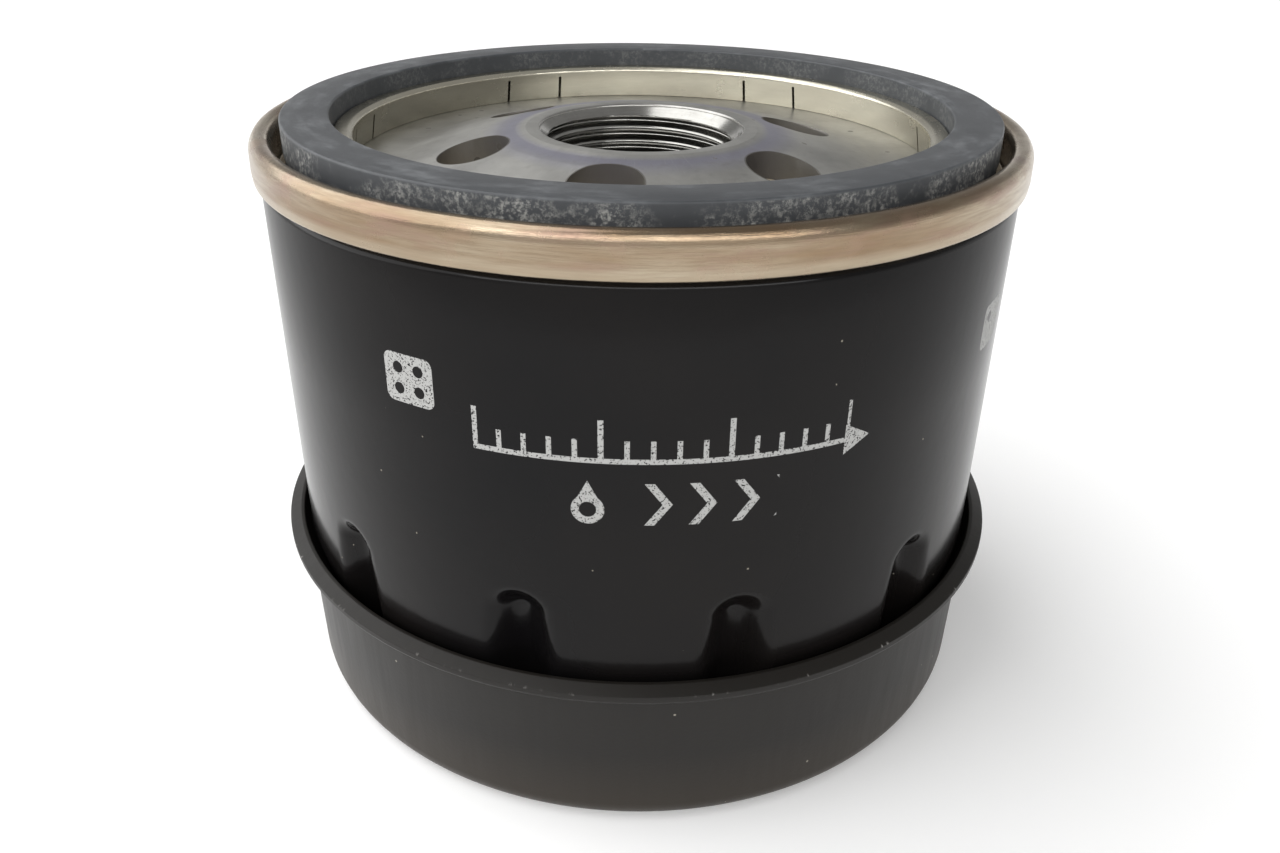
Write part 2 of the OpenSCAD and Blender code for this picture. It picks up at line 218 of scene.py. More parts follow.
class Shader(Graph):
    """A material's node tree, with the coordinates of a turned part.

    Args:
        material: the material to fill.
    """

    def __init__(self, material: bpy.types.Material) -> None:
        material.use_nodes = True
        super().__init__(material.node_tree)
        self.tree.nodes.clear()
        self.place = self.value("ShaderNodeTexCoord", output="Object")
        self.x, self.y, self.z = self.split(self.place)
        self.radius = (self.x * self.x + self.y * self.y).math("SQRT")
        self.azimuth = self.x.math("ARCTAN2", -self.y)

    def noise(self, scale: float, detail: float = 3.0, rough: float = 0.55,
              vector: Sock | None = None) -> Sock:
        """Returns a noise value between 0 and 1.

        Args:
            scale: features per metre.
            detail: number of finer layers.
            rough: strength of the finer layers.
            vector: the coordinates, or None for the object's own.
        """
        inputs = {"Vector": vector or self.place, "Scale": scale, "Detail": detail, "Roughness": rough}
        return self.value("ShaderNodeTexNoise", inputs=inputs)

    def stretched(self, around: float, radial: float, upright: float) -> Sock:
        """Returns turned coordinates, scaled apart for each direction."""
        return self.join(self.azimuth * around, self.radius * radial, self.z * upright)

    def streaks(self, around: float, radial: float, upright: float, detail: float = 3.0,
                rough: float = 0.6) -> Sock:
        """Returns noise drawn out along some directions; see stretched and noise."""
        return self.noise(1.0, detail, rough, self.stretched(around, radial, upright))

    def specks(self, scale: float, size: float, share: float) -> Sock:
        """Returns a mask of small scattered dots.

        Args:
            scale: cells per metre.
            size: dot radius as a part of a cell.
            share: part of the cells that hold a dot.
        """
        cells = self.node("ShaderNodeTexVoronoi", inputs={"Vector": self.place, "Scale": scale})
        distance = Sock(self, cells.outputs["Distance"])
        pick, _, _ = self.split(Sock(self, cells.outputs["Color"]))
        return (distance < pick * size) * (pick > 1.0 - share)

    def mix(self, mask: Sock | float, first: "Sock | Colour", second: "Sock | Colour") -> Sock:
        """Returns a colour between two colours.

        Args:
            mask: 0 for the first, 1 for the second.
            first: a colour or a socket.
            second: a colour or a socket.
        """
        made = self.node("ShaderNodeMix", {"data_type": "RGBA"})
        for index, source in ((0, mask), (6, first), (7, second)):
            if isinstance(source, Sock):
                self.tree.links.new(source.socket, made.inputs[index])
            else:
                made.inputs[index].default_value = (*source, 1.0) if index else source
        return Sock(self, made.outputs[2])

    def surface(self, colour: Sock, roughness: Sock, height: Sock | None = None, depth: float = 0.0,
                **constants: float) -> None:
        """Ends the tree in a Principled shader.

        Args:
            colour: the base colour.
            roughness: the roughness.
            height: the relief, between 0 and 1, or None.
            depth: height in metres of a relief of 1.
            **constants: plain values of other sockets, by name with _ for a space.
        """
        inputs = {"Base Color": colour, "Roughness": roughness}
        inputs.update({name.replace("_", " "): number for name, number in constants.items()})
        if height is not None:
            bump = {"Strength": 1.0, "Distance": depth, "Height": height}
            inputs["Normal"] = self.value("ShaderNodeBump", inputs=bump)
        made = self.value("ShaderNodeBsdfPrincipled", inputs=inputs)
        self.node("ShaderNodeOutputMaterial", inputs={"Surface": made})


# ------------------------------------------------------------------ finishes


@dataclass(frozen=True)
class Finish:
    """A surface finish.

    Args:
        name: the material's name.
    """

    name: str

    def material(self) -> bpy.types.Material:
        """Returns the finish's material, made once."""
        known = bpy.data.materials.get(self.name)
        if known:
            return known
        made = bpy.data.materials.new(self.name)
        self.paint(Shader(made))
        return made

    def paint(self, shader: Shader) -> None:
        """Fills the material's tree."""
        raise NotImplementedError


@dataclass(frozen=True)
class GlossPaint(Finish):
    """Black stove enamel with a printed tightening scale, dust and fine scuffs.

    Args:
        can_r: radius of the painted wall, in millimetres.
        ink: colour of the print.
        scale_start: where the scale starts along the wall.
        scale_end: where the scale ends.
        scale_z: height of the scale's line.
        tick_pitch: distance between ticks; every fifth is tall.
        symbol_z: height of the middle of the chevrons.
        tag_z: height of the middle of the tags.
        tag_turn: how far the first tag is turned back, in radians.
    """

    can_r: float = 37.9
    ink: Colour = (0.42, 0.42, 0.41)
    scale_start: float = -13.7
    scale_end: float = 18.4
    scale_z: float = 40.6
    tick_pitch: float = 2.12
    symbol_z: float = 36.55
    tag_z: float = 45.2
    tag_turn: float = 0.5197

    def paint(self, shader: Shader) -> None:
        """Fills the material's tree."""
        along = shader.azimuth * self.can_r
        up = shader.z * (1.0 / MM)
        wall = shader.radius > (self.can_r - 0.2) * MM
        grain = shader.noise(5200.0, 2.0, 0.7)
        ink = self.scale_row(along, up).either(self.symbol_row(along, up))
        ink = ink.either(self.index_tags(shader, up)) * wall * (grain > 0.415)
        dust = shader.specks(620.0, 0.06, 0.35) * (shader.noise(55.0) > 0.53)
        cloud = shader.noise(28.0, 4.0)
        base = shader.mix(cloud.ramp(0.3, 0.7), (0.0036, 0.0036, 0.0042), (0.0085, 0.0072, 0.0066))
        base = shader.mix(dust * 0.6, base, (0.36, 0.33, 0.27))
        base = shader.mix(ink * 0.92, base, self.ink)
        scuff = shader.streaks(9.0, 0.0, 2600.0).ramp(0.62, 0.78)
        rough = 0.13 + cloud * 0.07 + scuff * 0.05 + ink * 0.4 + dust * 0.3
        peel = shader.noise(520.0, 2.0) + ink * 0.6
        shader.surface(base, rough, peel, 0.000012, Specular_IOR_Level=0.15)

    def scale_row(self, along: Sock, up: Sock) -> Sock:
        """Returns the mask of the scale: a line, its ticks and an arrow head."""
        inside = (along > self.scale_start) * (along < self.scale_end)
        stroke, thin, tall_pitch = 0.24, 0.22, self.tick_pitch * 5
        from_start = along - (self.scale_start + thin)
        line = inside * (abs(up - self.scale_z) < stroke)
        to_minor = abs(from_start.math("FLOORED_MODULO", self.tick_pitch) - self.tick_pitch / 2)
        to_major = abs(from_start.math("FLOORED_MODULO", tall_pitch) - tall_pitch / 2)
        above = inside * (up > self.scale_z - 0.1)
        short = above * (to_minor > self.tick_pitch / 2 - thin) * (up < self.scale_z + 1.9)
        tall = above * (to_major > tall_pitch / 2 - stroke) * (up < self.scale_z + 3.7)
        tip = self.scale_end + 2.2
        head = (along > self.scale_end - 0.4) * (abs(up - self.scale_z) < (tip - along) * 0.55)
        return line.either(short).either(tall).either(head)

    def symbol_row(self, along: Sock, up: Sock) -> Sock:
        """Returns the mask of the oil drop and the three chevrons."""
        drop_at, drop_z, drop_r, hollow_r = -4.0, self.symbol_z - 0.6, 1.4, 0.72
        pitch, bend, half_height, stroke = 3.7, 0.75, 2.0, 0.42
        across, over = along - drop_at, up - drop_z
        reach = (across * across + over * over).math("SQRT")
        tip = (abs(across) < (drop_z + 2.75 - up) * 0.52) * (up > drop_z + 0.55)
        drop = (reach < drop_r).either(tip) * (reach > hollow_r)
        middle = up - self.symbol_z
        place = along + abs(middle) * bend
        rows = (abs(middle) < half_height) * (place > 0.2) * (along < 12.0)
        return drop.either(rows * (abs(place.math("FLOORED_MODULO", pitch) - 2.6) < stroke))

    def index_tags(self, shader: Shader, up: Sock) -> Sock:
        """Returns the mask of four tags round the can, each with one pip more than the last."""
        quarter = TURN / 4
        turned = shader.azimuth + self.tag_turn + quarter / 2 + 2 * quarter
        number = (turned / quarter).math("FLOOR").math("FLOORED_MODULO", 4.0)
        across = (turned.math("FLOORED_MODULO", quarter) - quarter / 2) * self.can_r
        middle = up - self.tag_z
        corner, pip_r = 0.75, 0.52
        corner_x = (abs(across) - 1.75).math("MAXIMUM", 0.0)
        corner_y = (abs(middle) - 1.5).math("MAXIMUM", 0.0)
        tag = (corner_x * corner_x + corner_y * corner_y).math("SQRT") < corner
        for index, (side, level) in enumerate(((-1, 1), (1, -1), (1, 1), (-1, -1))):
            reach_x = across - side * 1.05
            reach_y = middle - level * 0.95
            pip = (reach_x * reach_x + reach_y * reach_y).math("SQRT") < pip_r
            tag = tag * (1.0 - pip * ((number + 1.0).math("FLOORED_MODULO", 4.0) > index - 0.5))
        return tag


@dataclass(frozen=True)
class RolledTin(Finish):
    """Tinned sheet with roll lines round the axis and warm heat tints.

    Args:
        pale: the brighter tint.
        warm: the darker, warmer tint.
        rough: middle roughness.
        lines: strength of the roll lines, between 0 and 1.
        rib_r: radius inside which the tin is duller and greyer, in millimetres.
        edge_z: height below which the seam is painted lighter, a painted highlight along its lower edge,
            in millimetres.
    """

    pale: Colour = (0.53, 0.475, 0.365)
    warm: Colour = (0.29, 0.20, 0.125)
    rough: float = 0.19
    lines: float = 1.0
    rib_r: float = 31.2
    edge_z: float = 57.2

    def paint(self, shader: Shader) -> None:
        """Fills the material's tree."""
        broad = shader.streaks(2.4, 60.0, 420.0)
        fine = shader.streaks(14.0, 900.0, 6500.0, 4.0, 0.65)
        spots = shader.noise(330.0, 3.0).ramp(0.58, 0.72)
        base = shader.mix(broad.ramp(0.3, 0.7), self.pale, self.warm)
        base = shader.mix(fine.ramp(0.42, 0.62) * 0.55, base, (0.27, 0.21, 0.15))
        base = shader.mix(spots * 0.25, base, (0.50, 0.33, 0.26))
        base = shader.mix((shader.radius < self.rib_r * MM) * 0.65, base, (0.74, 0.73, 0.62))
        outside = shader.radius > self.rib_r * MM
        # painted highlight: the lower part of the seam is painted lighter tan, standing in for its bright
        # lower edge
        painted_edge_highlight = outside * (1.0 - shader.z.ramp((self.edge_z - 0.5) * MM, self.edge_z * MM))
        base = shader.mix(painted_edge_highlight * 0.4, base, (0.62, 0.55, 0.43))
        # painted shade: the seam's outer wall facing -Y, towards the camera, is painted darker brown,
        # standing in for the dark reflection in front of it
        front = (1.0 - abs(shader.azimuth).ramp(0.5, 1.3)) * shader.radius.ramp(0.036, 0.0365)
        base = shader.mix(front * 0.4, base, (0.20, 0.135, 0.08))
        rusty = outside * shader.streaks(5.0, 0.0, 700.0).ramp(0.50, 0.68)
        base = shader.mix(rusty * (1.0 - painted_edge_highlight) * 0.75, base, (0.29, 0.195, 0.15))
        rough = self.rough + fine * 0.12 + spots * 0.08
        shader.surface(base, rough, fine * self.lines, 0.000016, Metallic=1.0)


@dataclass(frozen=True)
class PressedSteel(Finish):
    """Satin pressed steel with faint blotches, scratches, a darker bluish ring round the hub, and painted
    shade on the inlet holes' walls.

    Args:
        pale: the brighter grey.
        dark: the darker grey.
        hub_r: radius inside which the surface is tinted darker and bluish, in millimetres.
        bore_r: radius inside which the surface is turned, in millimetres.
        hole_r: radius of an inlet hole, in millimetres.
        hole_ring_r: distance of the holes from the axis, in millimetres.
        hole_count: number of holes.
        hole_turn: azimuth of the first hole, in degrees.
        rough: middle roughness.
    """

    pale: Colour = (0.52, 0.515, 0.49)
    dark: Colour = (0.36, 0.355, 0.34)
    hub_r: float = 15.0
    bore_r: float = 10.4
    hole_r: float = 3.55
    hole_ring_r: float = 17.6
    hole_count: int = 6
    hole_turn: float = -10.4
    rough: float = 0.33

    def paint(self, shader: Shader) -> None:
        """Fills the material's tree."""
        blotch = shader.noise(150.0, 4.0, 0.6)
        mottle = shader.noise(900.0, 3.0, 0.6)
        scratch = shader.streaks(160.0, 420.0, 300.0, 2.0, 0.5).ramp(0.66, 0.74)
        near_hub = 1.0 - shader.radius.ramp((self.hub_r - 1.2) * MM, (self.hub_r + 1.4) * MM)
        off_lip = shader.radius.ramp((self.hub_r - 2.7) * MM, (self.hub_r - 1.9) * MM)
        base = shader.mix(blotch.ramp(0.3, 0.7), self.dark, self.pale)
        base = shader.mix(near_hub * off_lip * 0.6, base, (0.29, 0.285, 0.40))
        base = shader.mix(mottle.ramp(0.55, 0.75) * 0.3, base, (0.28, 0.265, 0.25))
        base = shader.mix(scratch * 0.3, base, (0.60, 0.60, 0.60))
        dirt = shader.specks(420.0, 0.16, 0.12)
        base = shader.mix(dirt * 0.6, base, (0.16, 0.15, 0.13))
        plain = shader.radius.ramp(self.bore_r * MM, (self.bore_r + 0.4) * MM)
        turned = shader.streaks(3.0, 900.0, 5200.0, 2.0, 0.5)
        base = shader.mix((1.0 - plain) * turned * 0.4, base, (0.20, 0.19, 0.17))
        # painted shade: the inlet holes' walls are painted nearly black
        wall = self.painted_hole_shade(shader)
        base = shader.mix(wall * 0.8, base, (0.13, 0.12, 0.105))
        soiled = blotch * 0.12 + mottle * 0.08 + dirt * 0.3
        rough = self.rough * (0.55 + plain * 0.45) + wall * 0.15 + soiled * plain
        relief = (mottle + scratch * 0.5) * plain + turned * (1.0 - plain) * 0.4
        shader.surface(base, rough, relief, 0.000012, Metallic=1.0)

    def painted_hole_shade(self, shader: Shader) -> Sock:
        """Returns a mask of the punched holes' walls, which are painted dark as painted shade."""
        step = TURN / self.hole_count
        turned = shader.azimuth - math.radians(self.hole_turn) + step * 8.5
        away = turned.math("FLOORED_MODULO", step) - step / 2
        along = shader.radius * away.math("COSINE") - self.hole_ring_r * MM
        across = shader.radius * away.math("SINE")
        distance = (along * along + across * across).math("SQRT")
        return 1.0 - distance.ramp((self.hole_r + 0.08) * MM, (self.hole_r + 0.2) * MM)


@dataclass(frozen=True)
class TalcedRubber(Finish):
    """Moulded rubber ring with talc left on its sides and wiped off its top.

    Args:
        top_z: height of the wiped face, in millimetres.
        rubber: the clean rubber's colour.
    """

    top_z: float = 61.2
    rubber: Colour = (0.028, 0.031, 0.035)

    def paint(self, shader: Shader) -> None:
        """Fills the material's tree."""
        up = shader.z * (1.0 / MM)
        side = 1.0 - up.ramp(self.top_z - 0.3, self.top_z - 0.12)
        cloud = shader.noise(170.0, 4.0, 0.65)
        flecks = shader.noise(2100.0, 5.0, 0.8)
        smear = shader.streaks(9.0, 700.0, 500.0, 4.0, 0.6)
        talc = side * flecks.ramp(0.47, 0.62) * cloud.ramp(0.42, 0.60)
        talc = talc * (0.25 + shader.radius.ramp(0.032, 0.034) * 0.75)
        wiped = (1.0 - side) * smear.ramp(0.45, 0.72) * cloud.ramp(0.35, 0.6)
        base = shader.mix(cloud, self.rubber, (0.062, 0.067, 0.074))
        base = shader.mix(wiped * 0.6, base, (0.19, 0.20, 0.21))
        base = shader.mix(talc * 0.75, base, (0.42, 0.42, 0.395))
        rough = 0.40 + side * 0.16 + talc * 0.2 + smear * 0.1
        shader.surface(base, rough, flecks * 0.7 + smear * 0.5, 0.000030, Specular_IOR_Level=0.5)


@dataclass(frozen=True)
class MouldedPlastic(Finish):
    """Satin black plastic with a fine grain and scratches along the rim.

    Args:
        rim_z: height of the rim's outer edge, in millimetres.
        rim_r: radius of the rim's outer edge, in millimetres.
    """

    rim_z: float = 18.05
    rim_r: float = 40.2

    def paint(self, shader: Shader) -> None:
        """Fills the material's tree."""
        cloud = shader.noise(45.0, 4.0)
        grain = shader.noise(2600.0, 2.0)
        off_edge = abs(shader.z - self.rim_z * MM) + abs(shader.radius - self.rim_r * MM)
        edge = 1.0 - off_edge.ramp(0.16 * MM, 0.34 * MM)
        patchy = shader.streaks(9.0, 0.0, 0.0).ramp(0.50, 0.62)
        scratched = shader.streaks(60.0, 500.0, 500.0, 3.0, 0.7).ramp(0.54, 0.64)
        worn = edge * scratched * patchy
        dust = shader.specks(520.0, 0.07, 0.3) * (shader.noise(70.0) > 0.52)
        streak = shader.streaks(40.0, 60.0, 90.0)
        base = shader.mix(cloud, (0.0085, 0.0074, 0.0062), (0.0130, 0.0112, 0.0094))
        base = shader.mix(1.0 - shader.z.ramp(0.0, 0.009), base, (0.030, 0.023, 0.016))
        base = shader.mix(worn * 0.9, base, (0.38, 0.37, 0.35))
        base = shader.mix(dust * 0.6, base, (0.40, 0.37, 0.31))
        rough = 0.36 + streak * 0.14 + worn * 0.2
        shader.surface(base, rough, grain + worn * 2.0, 0.000010, Specular_IOR_Level=0.25)


@dataclass(frozen=True)
class BareMetal(Finish):
    """Plain sheet or wire with fine drawing lines and a soft tarnish.

    Args:
        pale: the clean metal's colour.
        tarnish: colour of the tarnish.
        rough: middle roughness.
    """

    pale: Colour = (0.66, 0.66, 0.67)
    tarnish: Colour = (0.42, 0.40, 0.37)
    rough: float = 0.3

    def paint(self, shader: Shader) -> None:
        """Fills the material's tree."""
        cloud = shader.noise(240.0, 4.0)
        drawn = shader.streaks(20.0, 1500.0, 5200.0)
        base = shader.mix(cloud.ramp(0.4, 0.75) * 0.6, self.pale, self.tarnish)
        rough = self.rough + drawn * 0.14 + cloud * 0.06
        shader.surface(base, rough, drawn, 0.000008, Metallic=1.0)


@dataclass(frozen=True)
class SoftRubber(Finish):
    """Plain moulded rubber with a faint bloom.

    Args:
        rubber: the rubber's colour.
        bloom: colour of the bloom.
        rough: middle roughness.
    """

    rubber: Colour = (0.02, 0.02, 0.021)
    bloom: Colour = (0.07, 0.07, 0.072)
    rough: float = 0.45

    def paint(self, shader: Shader) -> None:
        """Fills the material's tree."""
        cloud = shader.noise(260.0, 4.0)
        grain = shader.noise(2400.0, 2.0)
        base = shader.mix(cloud.ramp(0.4, 0.8), self.rubber, self.bloom)
        shader.surface(base, self.rough + cloud * 0.15, grain, 0.000008, Specular_IOR_Level=0.5)


@dataclass(frozen=True)
class Fibre(Finish):
    """Resin-soaked filter paper with short fibres.

    Args:
        pale: the dry fibres' colour.
        soaked: the resin's colour.
    """

    pale: Colour = (0.74, 0.62, 0.38)
    soaked: Colour = (0.52, 0.38, 0.19)

    def paint(self, shader: Shader) -> None:
        """Fills the material's tree."""
        fibres = shader.noise(2200.0, 5.0, 0.75)
        cloud = shader.noise(300.0, 3.0)
        base = shader.mix((fibres * 0.6 + cloud * 0.4).ramp(0.35, 0.65), self.soaked, self.pale)
        shader.surface(base, 0.75 + fibres * 0.2, fibres, 0.000050, Specular_IOR_Level=0.3)


@dataclass(frozen=True)
class Adhesive(Finish):
    """Cured potting compound, glossy with small bubbles.

    Args:
        body: the compound's colour.
        edge: colour of the thinner places.
    """

    body: Colour = (0.20, 0.10, 0.045)
    edge: Colour = (0.42, 0.25, 0.11)

    def paint(self, shader: Shader) -> None:
        """Fills the material's tree."""
        flow = shader.noise(210.0, 4.0)
        bubbles = shader.specks(800.0, 0.4, 0.3)
        base = shader.mix(flow.ramp(0.35, 0.7), self.body, self.edge)
        shader.surface(base, 0.22 + flow * 0.2, flow + bubbles, 0.000060, Specular_IOR_Level=0.5)


PAINT = GlossPaint("gloss_paint")
SEAM_TIN = RolledTin("rolled_tin")
STEEL = PressedSteel("pressed_steel")
GASKET = TalcedRubber("talced_rubber")
CUP_PLASTIC = MouldedPlastic("moulded_plastic")
CAP_TIN = BareMetal("cap_tin", (0.70, 0.69, 0.65), (0.48, 0.45, 0.40), 0.28)
TUBE_STEEL = BareMetal("tube_steel")
DISC_STEEL = BareMetal("disc_steel", (0.68, 0.58, 0.36), (0.45, 0.40, 0.30), 0.25)
SPRING_STEEL = BareMetal("spring_wire", (0.46, 0.46, 0.48), (0.26, 0.25, 0.25), 0.24)
VALVE_RUBBER = SoftRubber("valve_rubber", (0.58, 0.50, 0.38), (0.72, 0.66, 0.56), 0.38)
BLACK_RUBBER = SoftRubber("black_rubber")
COMPOUND = SoftRubber("seam_compound", (0.16, 0.20, 0.18), (0.26, 0.30, 0.27), 0.5)
PAPER = Fibre("filter_paper")
POTTING = Adhesive("potting")


# ------------------------------------------------------------- mesh building


def rounded(corners: Sequence[tuple[float, float, float]], steps: int = 5) -> Outline:
    """Turns a closed outline's corners into arcs.

    Args:
        corners: r, z and fillet radius of each corner, in millimetres.
        steps: pieces in each arc.

    Returns:
        The outline's points, in millimetres.
    """
    points: Outline = []
    count = len(corners)
    for i, (r, z, fillet) in enumerate(corners):
        here = np.array([r, z])
        before = np.array(corners[i - 1][:2]) - here
        after = np.array(corners[(i + 1) % count][:2]) - here
        before_length = float(np.linalg.norm(before))
        after_length = float(np.linalg.norm(after))
        before /= before_length
        after /= after_length
        half = math.acos(float(np.clip(before @ after, -1.0, 1.0))) / 2
        if fillet <= 0 or half > math.pi / 2 - 0.01:
            points.append((r, z))
            continue
        run = min(fillet / math.tan(half), before_length * 0.49, after_length * 0.49)
        size = run * math.tan(half)
        middle = (before + after) / np.linalg.norm(before + after)
        centre = here + middle * (size / math.sin(half))
        start = here + before * run - centre
        end = here + after * run - centre
        sweep = math.atan2(start[0] * end[1] - start[1] * end[0], float(start @ end))
        for k in range(steps + 1):
            c, s = math.cos(sweep * k / steps), math.sin(sweep * k / steps)
            point = centre + np.array([c * start[0] - s * start[1], s * start[0] + c * start[1]])
            points.append((float(point[0]), float(point[1])))
    return points


def clean(mesh: bpy.types.Mesh, recalculate: bool = True) -> bpy.types.Mesh:
    """Merges doubles, points the faces outwards and marks the sharp edges.

    Args:
        mesh: the mesh to tidy.
        recalculate: whether the mesh is a closed shell whose normals are worked out again.

    Returns:
        The same mesh.
    """
    work = bmesh.new()
    work.from_mesh(mesh)
    bmesh.ops.remove_doubles(work, verts=work.verts, dist=1e-7)
    bmesh.ops.dissolve_degenerate(work, edges=work.edges, dist=1e-8)
    if recalculate:
        bmesh.ops.recalc_face_normals(work, faces=work.faces)
    for face in work.faces:
        face.smooth = True
    for edge in work.edges:
        edge.smooth = edge.is_manifold and edge.calc_face_angle(0.0) < SHARP_ANGLE
    work.to_mesh(mesh)
    work.free()
    return mesh


def revolve(name: str, outline: Outline, closed: bool = True, segments: int = SEGMENTS,
            shape: RadiusRule | None = None) -> bpy.types.Mesh:
    """Turns an outline round the Z axis.

    Args:
        name: the mesh's name.
        outline: r and z of each point, in millimetres.
        closed: whether the last point joins the first.
        segments: steps round the axis.
        shape: gives each point's radius from its r, z and azimuth, or None to leave it.

    Returns:
        The mesh, in metres.
    """
    r, z = np.array(outline, float).T
    azimuth = np.arange(segments) * TURN / segments
    rows, turns = np.meshgrid(np.arange(len(r)), azimuth, indexing="ij")
    radius = r[rows] if shape is None else shape(r[rows], z[rows], turns)
    spots = np.stack([radius * np.sin(turns), -radius * np.cos(turns), z[rows]], -1) * MM
    last = len(r) if closed else len(r) - 1
    i, j = np.meshgrid(np.arange(last), np.arange(segments), indexing="ij")
    up, on = (i + 1) % len(r), (j + 1) % segments
    quads = np.stack([i * segments + j, i * segments + on, up * segments + on, up * segments + j], -1)
    mesh = bpy.data.meshes.new(name)
    mesh.from_pydata(spots.reshape(-1, 3).tolist(), [], quads.reshape(-1, 4).tolist())
    return clean(mesh, closed or r[0] == 0.0 or r[-1] == 0.0)


def block(name: str, low: Sequence[float], high: Sequence[float], bevel: float = 0.0) -> bpy.types.Mesh:
    """Makes a box with rounded edges.

    Args:
        name: the mesh's name.
        low: lowest corner, in millimetres.
        high: highest corner, in millimetres.
        bevel: width of the rounded edges, in millimetres.

    Returns:
        The mesh, in metres.
    """
    work = bmesh.new()
    bmesh.ops.create_cube(work, size=1.0)
    size = (np.array(high) - np.array(low)) * MM
    middle = (np.array(high) + np.array(low)) / 2 * MM
    placing = Matrix.Translation(middle) @ Matrix.Diagonal((*size, 1.0))
    bmesh.ops.transform(work, matrix=placing, verts=work.verts)
    if bevel:
        bmesh.ops.bevel(work, geom=work.edges, offset=bevel * MM, segments=2, affect="EDGES", profile=0.5)
    mesh = bpy.data.meshes.new(name)
    work.to_mesh(mesh)
    work.free()
    return clean(mesh)


def linked(name: str, data: bpy.types.ID) -> bpy.types.Object:
    """Returns a new object in the scene for a mesh, light or camera."""
    piece = bpy.data.objects.new(name, data)
    bpy.context.scene.collection.objects.link(piece)
    return piece


def baked(piece: bpy.types.Object) -> bpy.types.Object:
    """Applies an object's modifiers.

    Args:
        piece: the object.

    Returns:
        The same object, with a plain mesh.
    """
    bpy.context.view_layer.update()
    evaluated = piece.evaluated_get(bpy.context.evaluated_depsgraph_get())
    result = bpy.data.meshes.new_from_object(evaluated)
    old = piece.data
    piece.modifiers.clear()
    piece.data = result
    bpy.data.meshes.remove(old)
    result.name = piece.name
    clean(result)
    return piece


def cut(piece: bpy.types.Object, cutter: bpy.types.Object) -> bpy.types.Object:
    """Takes a cutter's closed solids out of a piece and removes the cutter."""
    made = piece.modifiers.new("cut", "BOOLEAN")
    made.operation = "DIFFERENCE"
    made.solver = "EXACT"
    made.object = cutter
    baked(piece)
    bpy.data.objects.remove(cutter)
    return piece


# ---------------------------------------------------------- geometry nodes


class GeometryTree(Graph):
    """A geometry node tree with named inputs.

    Args:
        name: the tree's name.
        numbers: each number input's name and its default.
    """

    def __init__(self, name: str, numbers: dict[str, float]) -> None:
        super().__init__(bpy.data.node_groups.new(name, "GeometryNodeTree"))
        face = self.tree.interface
        face.new_socket(name="Geometry", in_out="INPUT", socket_type="NodeSocketGeometry")
        for label, number in numbers.items():
            kind = "NodeSocketInt" if isinstance(number, int) else "NodeSocketFloat"
            face.new_socket(name=label, in_out="INPUT", socket_type=kind).default_value = number
        face.new_socket(name="Material", in_out="INPUT", socket_type="NodeSocketMaterial")
        face.new_socket(name="Geometry", in_out="OUTPUT", socket_type="NodeSocketGeometry")
        self.entry = self.node("NodeGroupInput")

    def given(self, name: str) -> Sock:
        """Returns one of the tree's own inputs."""
        return Sock(self, self.entry.outputs[name])

    def finish(self, geometry: Sock) -> None:
        """Ends the tree in Realize Instances and Set Material."""
        real = self.value("GeometryNodeRealizeInstances", inputs={"Geometry": geometry})
        inputs = {"Geometry": real, "Material": self.given("Material")}
        dressed = self.value("GeometryNodeSetMaterial", inputs=inputs)
        self.node("NodeGroupOutput", inputs={0: dressed})

    def apply(self, piece: bpy.types.Object, material: bpy.types.Material | None,
              **numbers: float) -> None:
        """Adds the tree to an object as a modifier.

        Args:
            piece: the object.
            material: the finish that the tree sets.
            **numbers: values of the named inputs, with _ for a space.
        """
        made = piece.modifiers.new(self.tree.name, "NODES")
        made.node_group = self.tree
        wanted = {name.replace("_", " "): number for name, number in numbers.items()}
        wanted["Material"] = material
        for item in self.tree.interface.items_tree:
            if item.in_out == "INPUT" and item.name in wanted and wanted[item.name] is not None:
                made[item.identifier] = wanted[item.name]


def ring_tree() -> GeometryTree:
    """Returns a tree that repeats its own geometry evenly round the Z axis."""
    made = GeometryTree("ring_of_copies", {"Count": 6, "Turn": 0.0})
    line = made.value("GeometryNodeMeshLine", {"mode": "OFFSET"},
                      {"Count": made.given("Count"), "Offset": (0.0, 0.0, 0.0)})
    index = made.value("GeometryNodeInputIndex")
    angle = index * TURN / made.given("Count") + made.given("Turn")
    copies = made.value("GeometryNodeInstanceOnPoints",
                        inputs={"Points": line, "Instance": made.given("Geometry"),
                                "Rotation": made.join(0.0, 0.0, angle)})
    made.finish(copies)
    return made


